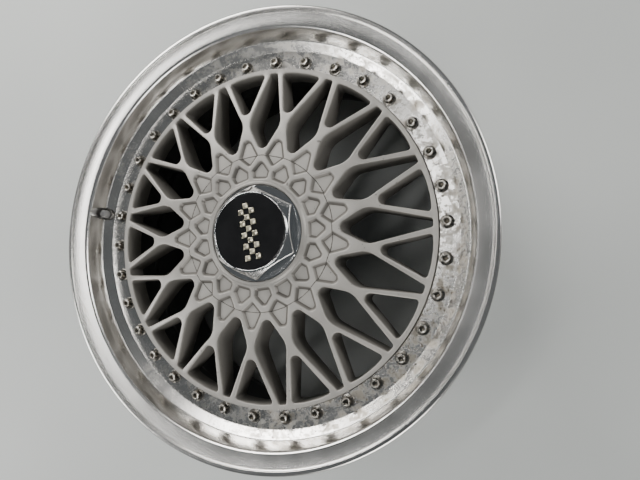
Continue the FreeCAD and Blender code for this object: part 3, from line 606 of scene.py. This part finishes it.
class Shell:
    """Collects the points and faces of one closed piece."""

    def __init__(self):
        self.points, self.faces, self.painted_shade = [], [], []

    def add(self, points, faces, painted_shade):
        """More points and faces; the last argument is how much painted shade each point gets, from
        0 to 1.
        """
        start = len(self.points)
        self.points.extend(map(tuple, points))
        self.painted_shade.extend(painted_shade)
        self.faces.extend([tuple(int(v) + start for v in face) for face in faces])

    def wall(self, levels, edges, painted_shade):
        """Strips of faces between rows of points that share one set of edges."""
        count = len(levels[0])
        points = np.concatenate(levels)
        faces = []
        for row in range(len(levels) - 1):
            low, high = row * count, (row + 1) * count
            faces.extend((low + b, low + a, high + a, high + b) for a, b in edges)
        self.add(points, faces, np.concatenate([np.full(count, h) for h in painted_shade]))

    def plate(self, loops, height, keep, painted_shade=0.5):
        """A level face between loops, kept where keep(triangle centres) is true."""
        flat, triangles = filled(loops)
        centre = flat[triangles].mean(1)
        triangles = triangles[keep(centre)]
        self.add(np.column_stack((flat, np.full(len(flat), height))), triangles,
                 np.full(len(flat), painted_shade))


def compact(points, triangles):
    """Only the points that these faces or edges use, and the faces renumbered to them."""
    used, inverse = np.unique(triangles, return_inverse=True)
    return points[used], inverse.reshape(triangles.shape)


def face_mesh():
    """The whole decorated face as one height field, cut into centre and cover plate."""
    loops = [circle(COVER_BORE), circle(JOINT - CREASE), circle(JOINT), circle(JOINT + CREASE),
             circle(RIM)]
    for (loop, normals), turn in WINDOWS:
        radius = np.hypot(loop[:, 0], loop[:, 1])
        inset = (FACE_TOP - face_height(radius)) * DRAFT
        for share in ROUND_SHARES:
            ring = loop + normals * (share * EDGE_ROUND - inset)[:, None]
            loops.extend(spin(ring, turn + k * SECTOR) for k in range(PETALS))
    for (loop, normals), turn in POCKETS:
        for inset in (-ROUND_REACH, -0.2, 0.05, ROUND_END, 0.7, POCKET_DEPTH / POCKET_ROUND,
                      FLOOR_UNSHADED / POCKET_ROUND):
            ring = inset_loop(loop, normals, inset * POCKET_ROUND)
            loops.extend(spin(ring, turn + k * SECTOR) for k in range(PETALS))
    grid = np.concatenate([circle(r, 14 * PETALS) for r in np.arange(83.0, 178.0, 3.0)])
    clear = window_depth(grid, face_height(np.hypot(*grid.T))) < -EDGE_ROUND - 0.7
    clear &= (pocket_depth_at(grid) < -1.4) | (pocket_depth_at(grid) > FLOOR_UNSHADED + 0.6)
    flat, triangles = filled(loops, grid[clear])
    centre = flat[triangles].mean(1)
    radius = np.hypot(centre[:, 0], centre[:, 1])
    keep = (radius > COVER_BORE - 0.05) & (window_depth(centre, face_height(radius)) < 0.0)
    triangles = triangles[keep]
    radius = np.hypot(flat[:, 0], flat[:, 1])
    top = face_height(radius)
    outside = np.clip(-window_depth(flat, top), 0, EDGE_ROUND)
    rounding = EDGE_ROUND - np.sqrt(np.maximum(EDGE_ROUND ** 2 - (EDGE_ROUND - outside) ** 2, 0))
    inside = pocket_depth_at(flat)
    crease = np.clip(1 - np.abs(radius - JOINT) / CREASE, 0, 1)
    height = top - rounding - np.where(outside >= EDGE_ROUND, pocket_drop(inside), 0)
    height -= CREASE_DEPTH * crease
    # Painted shade: dark down the pockets' rounded edges and slopes, light again on their floors,
    # and dark in the seam's groove.
    painted_shade = np.interp(inside, (0.2, 1.0, POCKET_DEPTH - 0.2, POCKET_DEPTH, FLOOR_UNSHADED),
                       (0.0, 0.65, 0.95, 0.95, 0.05))
    painted_shade = np.maximum(painted_shade, crease)
    points = np.column_stack((flat, height))
    radius = np.hypot(*flat[triangles].mean(1).T)
    return points, painted_shade, triangles[radius < JOINT], triangles[radius >= JOINT]


def on_circle(points, edges, radius):
    """The edges whose two ends lie on a circle."""
    size = np.hypot(points[:, 0], points[:, 1])
    return edges[np.all(np.abs(size[edges] - radius) < 0.02, axis=1)]


def ring_levels(points, profile):
    """Rows of the same angles at other radii and heights."""
    angle = np.arctan2(points[:, 1], points[:, 0])
    return [np.column_stack((r * np.cos(angle), r * np.sin(angle), np.full(len(angle), z)))
            for r, z in profile]


def sized(points, members, radius):
    """The points, with some of them moved in plan to a circle."""
    moved = points.copy()
    scale = radius / np.hypot(points[members, 0], points[members, 1])
    moved[members, :2] *= scale[:, None]
    return moved


def loop_of(points, edges):
    """Plan of a circle's points in order of angle."""
    members = np.unique(edges)
    plan = points[members, :2]
    return plan[np.argsort(np.arctan2(plan[:, 1], plan[:, 0]))]


def centre_piece(points, painted_shade, triangles):
    """The mesh: its face, rim flange, seat for the cover plate, window walls, back and boss."""
    shell = Shell()
    edges = border(triangles)
    seam = on_circle(points, edges, JOINT)
    points = sized(points, np.unique(seam), CENTRE_SEAM)
    shell.add(points, triangles, painted_shade)
    rim = on_circle(points, edges, RIM)
    rim_points, rim_edges = compact(points, rim)
    # The last numbers given with each wall, the back, the pad and the boss are painted shade:
    # deeper and hidden faces are painted darker.
    flange = [(RIM, 33.0), (195.0, 33.0), (195.0, 25.0), (BACK_OUT, 25.0)]
    shell.wall([rim_points] + ring_levels(rim_points, flange), rim_edges,
               (0.1, 0.3, 0.3, 0.3, 0.3))
    seat_points, seat_edges = compact(points, seam)
    seat = [(CENTRE_SEAM, COVER_BACK), (SEAT_RADIUS, COVER_BACK), (SEAT_RADIUS, PAD_HEIGHT)]
    shell.wall([seat_points] + ring_levels(seat_points, seat), seat_edges, (0.3, 0.5, 0.5, 0.8))
    size = np.hypot(points[:, 0], points[:, 1])
    holes = edges[np.all((size[edges] > 82) & (size[edges] < 179), axis=1)]
    wall_points, wall_edges = compact(points, holes)
    shell.wall(window_walls(wall_points), wall_edges, (0.15, 0.5, 0.6, 0.7, 0.8))
    bottoms = []
    for (loop, normals), turn in WINDOWS:
        radius = np.hypot(loop[:, 0], loop[:, 1])
        for _ in range(3):  # the draft reaches to the back, whose height depends on the radius
            inset = (FACE_TOP - back_height(radius)) * DRAFT
            low = loop - normals * inset[:, None]
            radius = np.hypot(low[:, 0], low[:, 1])
        bottoms.extend(spin(low, turn + k * SECTOR) for k in range(PETALS))
    grid = np.concatenate([circle(r, 10 * PETALS)
                           for r in (90.0, 97.0, 106.0, 118.0, 129.0, 145.0, 160.0)])
    clear = window_depth(grid, back_height(np.hypot(*grid.T))) < -0.8
    flat, faces = filled([circle(BACK_IN), circle(BACK_OUT)] + bottoms, grid[clear])
    centre = flat[faces].mean(1)
    radius = np.hypot(*centre.T)
    keep = (radius > BACK_IN - 0.05) & (window_depth(centre, back_height(radius)) < 0.0)
    heights = back_height(np.hypot(*flat.T))
    shell.add(np.column_stack((flat, heights)), faces[keep], np.full(len(flat), 0.7))
    seat_loop = loop_of(seat_points, seat_edges)
    pad_loop = seat_loop / np.hypot(*seat_loop.T)[:, None] * SEAT_RADIUS
    lugs = [circle(LUG_RADIUS, 48) + LUG_CIRCLE * np.array((math.cos(a), math.sin(a)))
            for a in FIRST + np.arange(LUGS) * math.tau / LUGS]

    def solid(inner):
        def keep(centre):
            away = np.min([np.hypot(*(centre - lug.mean(0)).T) for lug in lugs], 0)
            return (np.hypot(*centre.T) > inner - 0.02) & (away > LUG_RADIUS - 0.05)
        return keep

    shell.plate([pad_loop, circle(BOSS_RADIUS)] + lugs, PAD_HEIGHT, solid(BOSS_RADIUS), 0.8)
    shell.plate([circle(PAD_RADIUS), circle(BORE_RADIUS)] + lugs, 0.0, solid(BORE_RADIUS), 0.2)
    for lug in lugs:
        count = len(lug)
        ring = np.array([(k, (k + 1) % count) for k in range(count)])
        shell.wall([np.column_stack((lug, np.full(count, z))) for z in (0.0, PAD_HEIGHT)], ring,
                   (0.4, 0.4))
    for profile in ([(BOSS_RADIUS, PAD_HEIGHT), (BOSS_RADIUS, 35.4), (46.4, 36.0), (42.4, 36.0),
                     (42.0, 35.6), (42.0, PAD_HEIGHT), (BORE_RADIUS, PAD_HEIGHT),
                     (BORE_RADIUS, 0.0)],
                    [(PAD_RADIUS, 0.0), (BACK_IN, 24.0)]):
        made = turned(profile, closed=False)
        shell.add(*made, np.full(len(made[0]), 0.5))
    show_mesh("mesh_center", shell.points, shell.faces, "center_paint", "root",
              ["wheel_center"], painted_shade=shell.painted_shade)


def window_walls(edge_points):
    """Rows from a window's top edge down its drafted wall to the back."""
    rows = [edge_points]
    plan = edge_points[:, :2]
    normals = np.zeros_like(plan)
    foot = np.zeros_like(plan)
    best = np.full(len(plan), 1e9)
    for (loop, directions), turn in WINDOWS:
        for k in range(PETALS):
            angle = turn + k * SECTOR
            ring, facing = spin(loop, angle), spin(directions, angle)
            top = (FACE_TOP - face_height(np.hypot(*ring.T))) * DRAFT
            edge = ring - facing * top[:, None]
            gap = np.hypot(*(plan[:, None] - edge[None]).transpose(2, 0, 1))
            near = gap.argmin(1)
            nearest = gap[np.arange(len(plan)), near]
            better = nearest < best
            best[better] = nearest[better]
            normals[better] = facing[near[better]]
            foot[better] = ring[near[better]]
    low = foot
    for _ in range(3):
        bottom = back_height(np.hypot(*low.T))
        low = foot - normals * ((FACE_TOP - bottom) * DRAFT)[:, None]
    for share in (0.12, 0.4, 0.7, 1.0):
        height = edge_points[:, 2] + (bottom - edge_points[:, 2]) * share
        place = foot - normals * ((FACE_TOP - height) * DRAFT)[:, None]
        rows.append(np.column_stack((place, height)))
    return rows


def cover_piece(points, painted_shade, triangles):
    """The round middle plate, with the raised lip round its bore."""
    shell = Shell()
    edges = border(triangles)
    seam = on_circle(points, edges, JOINT)
    points = sized(points, np.unique(seam), COVER_SEAM)
    shell.add(points, triangles, painted_shade)
    rim_points, rim_edges = compact(points, seam)
    # The last numbers given with each wall and the back are painted shade: hidden faces are painted
    # darker.
    shell.wall([rim_points] + ring_levels(rim_points, [(COVER_SEAM, COVER_BACK)]), rim_edges,
               (0.2, 0.5))
    inner_points, inner_edges = compact(points, on_circle(points, edges, COVER_BORE))
    shell.wall([inner_points] + ring_levels(inner_points, [
        (53.0, 67.9), (52.5, 68.2), (52.1, 68.3), (50.8, 68.3), (50.4, 68.1), (50.3, 67.7),
        (50.3, 63.4), (COVER_BACK_BORE, 63.4), (COVER_BACK_BORE, COVER_BACK)]),
        inner_edges, (0.1,) * 6 + (0.3,) * 4)
    seam_loop = loop_of(rim_points, rim_edges)
    shell.plate([seam_loop, circle(COVER_BACK_BORE)], COVER_BACK,
                lambda centre: np.hypot(*centre.T) > COVER_BACK_BORE - 0.02)
    show_mesh("mesh_cover", shell.points, shell.faces, "center_paint", "cover",
              ["cover_plate"], painted_shade=shell.painted_shade)


# ---------------------------------------------------------------- rim halves
def at_valve(points):
    """Points made about the wheel's axis, moved out to the valve's."""
    return [(x + VALVE_AXIS[0], y + VALVE_AXIS[1], z) for x, y, z in points]


def cut_valve_pocket(lip):
    """Take the valve's hole, and the round pocket that its washer lies in, out of the lip."""
    below, above = 30.0, 90.0  # clear of the lip on both sides
    cutter_points, cutter_faces = turned([
        (0.0, below), (VALVE_HOLE, below), (VALVE_HOLE, BOLT_PLANE), (VALVE_POCKET, BOLT_PLANE),
        (VALVE_POCKET, above), (0.0, above)], 96, closed=False)
    mesh = bpy.data.meshes.new("pocket_cutter")
    mesh.from_pydata([(x * MM, y * MM, z * MM) for x, y, z in at_valve(cutter_points)], [],
                     cutter_faces)
    cutter = bpy.data.objects.new("pocket_cutter", mesh)
    bpy.context.scene.collection.objects.link(cutter)
    cut = lip.modifiers.new("pocket", "BOOLEAN")
    cut.operation = "DIFFERENCE"
    cut.solver = "EXACT"
    cut.object = cutter
    bpy.context.view_layer.update()
    graph = bpy.context.evaluated_depsgraph_get()
    final = bpy.data.meshes.new_from_object(lip.evaluated_get(graph), depsgraph=graph)
    lip.modifiers.clear()
    lip.data = final
    bpy.data.objects.remove(cutter)
    final.set_sharp_from_angle(angle=math.radians(33))


def rim_halves():
    """The polished outer half, with its valve hole, and the plain inner half."""
    lip = rounded_profile([
        (180.6, 38.0, 0), (211.0, 38.0, 1), (217.2, 44.0, 1), (218.3, 63.4, 5), (230.1, 63.4, 0.6),
        (235.5, 68.8, 2.0), (235.5, 76.4, 2.8), (229.8, 76.4, 1.2), (229.8, 74.7, 0.5),
        (228.9, 74.0, 0.4), (228.2, 74.7, 0.9), (214.3, 70.1, 5.0), (209.3, 52.3, 0.9),
        (209.3, 51.4, 0.3), (208.4, 51.4, 0.6), (200.2, BOLT_PLANE, 1.6), (180.6, BOLT_PLANE, 0.7)])
    piece = show_mesh("lip_half", *turned(lip, RIM_STEPS), "polished_lip", "root", ["outer_lip"])
    cut_valve_pocket(piece)
    barrel = rounded_profile([
        (180.6, 38.0, 0), (180.6, 33.0, 0), (195.3, 33.0, 1), (195.3, -28.0, 14),
        (209.3, -54.0, 14), (209.3, -117.8, 8), (214.3, -140.9, 6), (229.8, -152.8, 1.5),
        (235.5, -152.8, 2.8), (235.5, -145.2, 2.0), (230.1, -139.8, 0.6), (218.3, -139.8, 5),
        (217.2, -117.8, 1.5), (213.4, -113.7, 2.5), (213.4, -54.0, 14), (199.4, -28.0, 14),
        (199.4, 38.0, 0)])
    show_mesh("barrel_half", *turned(barrel, RIM_STEPS), "barrel_alloy", "root",
              ["inner_barrel"])


# ---------------------------------------------------------------- nut and cap
def hexagon(angle, flats, turn):
    """Radius of a hexagon of this width across its flats, in one direction."""
    return flats / 2 / math.cos((angle - turn + math.pi / 6) % (math.pi / 3) - math.pi / 6)


def nut_piece():
    """Six-sided nut with a chamfered crown, its bright trim ring and its gloss disc."""
    top, base, across_flats = 81.2, 67.2, 84.0
    cone_top, cone_foot, cone_height = 40.4, 48.6, 10.6
    middle, sharpness = 45.0, 4
    heights = list(np.linspace(top - 0.1, 70.0, 30)) + [69.0, 68.0, base]
    body = [(middle, z) for z in heights]
    profile = [(39.9, 77.5), (39.9, 80.9), (40.05, 81.15)] + body + [
        (48.9, 67.15), (49.3, 66.95), (49.4, 66.6), (49.4, 65.0), (49.25, 64.7), (48.9, 64.6),
        (37.4, 64.6), (37.4, 24.6), (36.8, 24.0), (34.0, 24.0), (33.4, 24.6), (33.4, 77.5)]
    turn = math.radians(7.0)

    def shape(angle, index, radius):
        """The smaller of the crown's cone and the hexagon, blended where they meet."""
        if not 3 <= index < 3 + len(body):
            return radius
        height = profile[index][1]
        cone = cone_top + (top - height) * (cone_foot - cone_top) / cone_height
        flat = hexagon(angle, across_flats, turn)
        total = (math.exp(-sharpness * (cone - middle))
                 + math.exp(-sharpness * (flat - middle)))
        return -math.log(total) / sharpness + middle

    show_mesh("hex_nut", *turned(profile, 360, shape), "nut_chrome", "nut", ["center_nut"], 24.0)
    trim = rounded_profile([(38.45, 77.5, 0), (39.85, 77.5, 0), (39.85, 81.9, 0.55),
                            (38.45, 81.9, 0.55)])
    show_mesh("trim_ring", *turned(trim, 240), "nut_chrome", "nut", ["cap_trim"])
    rim = rounded_profile([(38.35, 77.6, 0), (38.35, 81.3, 0.5), (36.0, 81.3, 0)])
    disc = [(0.0, 77.6)] + [tuple(p) for p in rim] + [(0.0, 81.3)]
    show_mesh("gloss_disc", *turned(disc, 240, closed=False), "cap_black", "nut", ["cap_disc"])


def badge_piece():
    """A plain strip of raised chequers on the gloss disc."""
    cell, gap, low, high = 5.8, 0.5, 81.3, 82.6
    columns, rows = 3, 10
    turn = math.radians(14.0)
    points, faces = [], []
    for column in range(columns):
        for row in range(rows):
            if (column + row) % 2:
                continue
            x0 = (column - columns / 2) * cell + gap / 2
            y0 = (row - rows / 2) * cell + gap / 2
            start, size = len(points), cell - gap
            for z in (low, high):
                for x, y in ((0, 0), (size, 0), (size, size), (0, size)):
                    px, py = x0 + x, y0 + y
                    points.append((px * math.cos(turn) - py * math.sin(turn),
                                   px * math.sin(turn) + py * math.cos(turn), z))
            for face in ((3, 2, 1, 0), (4, 5, 6, 7), (0, 1, 5, 4), (1, 2, 6, 5), (2, 3, 7, 6),
                         (3, 0, 4, 7)):
                faces.append([start + v for v in face])
    show_mesh("check_badge", points, faces, "badge_metal", "nut", ["cap_emblem"], bevel=0.25)


# ---------------------------------------------------------------- rim bolts and valve
def bolts_piece():
    """The rim bolts with their round flanges, each at its own angle."""
    profile = [(0.0, 15.5), (3.0, 15.5), (3.5, 16.0), (3.5, 43.9), (6.6, 44.0), (6.8, 44.25),
               (6.8, 44.9), (6.55, 45.25), (6.1, 45.35), (5.3, 45.45), (4.1, 45.6), (4.1, 49.6),
               (3.95, 50.1), (3.9, 50.35), (3.85, 50.8), (3.65, 51.0), (3.0, 51.0), (2.75, 50.8),
               (2.6, 50.0), (2.3, 49.85), (0.0, 49.8)]

    head_flats, head_rows = 8.2, (10, 11, 12)

    def shape(angle, index, radius):
        """Twelve points on the head, drawn in a little at its top row."""
        if index not in head_rows:
            return radius
        star = max(hexagon(angle, head_flats, 0.0), hexagon(angle, head_flats, math.radians(30)))
        return star * (0.97 if index == head_rows[-1] else 1.0)

    one, faces = turned(profile, 48, shape, closed=False)
    one = np.array(one)
    points, everything = [], []
    for index in range(BOLTS):
        angle = FIRST - index * math.tau / BOLTS
        own = (index * 37 % 60) * math.pi / 180  # an uneven turn of each head, in whole degrees
        plan = spin(one[:, :2], own) + BOLT_CIRCLE * np.array((math.cos(angle), math.sin(angle)))
        everything.extend([[v + len(points) for v in face] for face in faces])
        points.extend(np.column_stack((plan, one[:, 2])))
    show_mesh("rim_bolt_set", points, everything, "bolt_steel", "root", ["rim_bolts"], 40.0)


def valve_cap_piece():
    """Hollow valve cap, knurled round its middle."""
    profile = [(3.35, 49.2), (4.1, 49.2), (4.3, 49.5), (4.3, 55.6), (4.05, 56.4), (3.5, 56.9),
               (2.6, 57.0), (0.0, 57.0), (0.0, 55.6), (3.3, 55.6)]

    steps, knurl_depth, knurl_rows = 144, 0.22, (2, 3)

    def shape(angle, index, radius):
        if index not in knurl_rows:
            return radius
        return radius - (knurl_depth if int(angle / math.tau * steps) % 4 < 2 else 0.0)

    points, faces = turned(profile, steps, shape)
    show_mesh("knurled_cap", at_valve(points), faces, "valve_cap_metal", "air_cap",
              ["valve_cap"], 30.0)


def core_spring():
    """Coil spring round the valve pin, built at one fixed length; on the real valve it shortens as
    the pin's collar comes down on it.
    """
    coil, wire, low, pitch, turns, per_turn, ring = 1.15, 0.2, 46.2, 0.9, 6, 28, 10
    points, faces = [], []
    for step in range(turns * per_turn + 1):
        angle = math.tau * step / per_turn
        for part in range(ring):
            around = math.tau * part / ring
            radius = coil + wire * math.cos(around)
            points.append((radius * math.cos(angle), radius * math.sin(angle),
                           low + pitch * step / per_turn + wire * math.sin(around)))
    for step in range(turns * per_turn):
        for part in range(ring):
            here, after = step * ring + part, step * ring + (part + 1) % ring
            faces.append((here, after, after + ring, here + ring))
    faces.append(tuple(range(ring))[::-1])
    faces.append(tuple(range(len(points) - ring, len(points))))
    spring = show_mesh("core_spring_coil", at_valve(points), faces, "spring_steel", "root",
                       ["valve_core_spring"], 60.0)
    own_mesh(spring)


# ---------------------------------------------------------------- floor
def make_floor():
    mesh = bpy.data.meshes.new("floor")
    low = cad_box[0].z - 0.0005  # metres
    size = 6.0
    mesh.from_pydata([(-size, -size, low), (size, -size, low), (size, size, low),
                      (-size, size, low)], [], [(0, 1, 2, 3)])
    floor = bpy.data.objects.new("floor", mesh)
    bpy.context.scene.collection.objects.link(floor)
    floor.data.materials.append(plain_finish("pale_floor", (0.66, 0.69, 0.68), 0.0, 0.5, 0.6, 3.0,
                                             0.97, 0.03))


# ---------------------------------------------------------------- the whole scene
make_camera()
finishes = make_finishes()
make_lights()
make_floor()
slots = {part["node"]: part["material_slot"] for part in frame["record"]["subparts"]}
for node_name, node_object in frame["nodes"].items():
    node_object.data.materials.clear()
    node_object.data.materials.append(finishes[slots[node_name]])
face_points, face_painted_shade, cover_faces, centre_faces = face_mesh()
for make_piece, used_faces in ((centre_piece, centre_faces), (cover_piece, cover_faces)):
    own_points, own_faces = compact(face_points, used_faces)
    make_piece(own_points, face_painted_shade[np.unique(used_faces)], own_faces)
rim_halves()
nut_piece()
badge_piece()
bolts_piece()
valve_cap_piece()
core_spring()
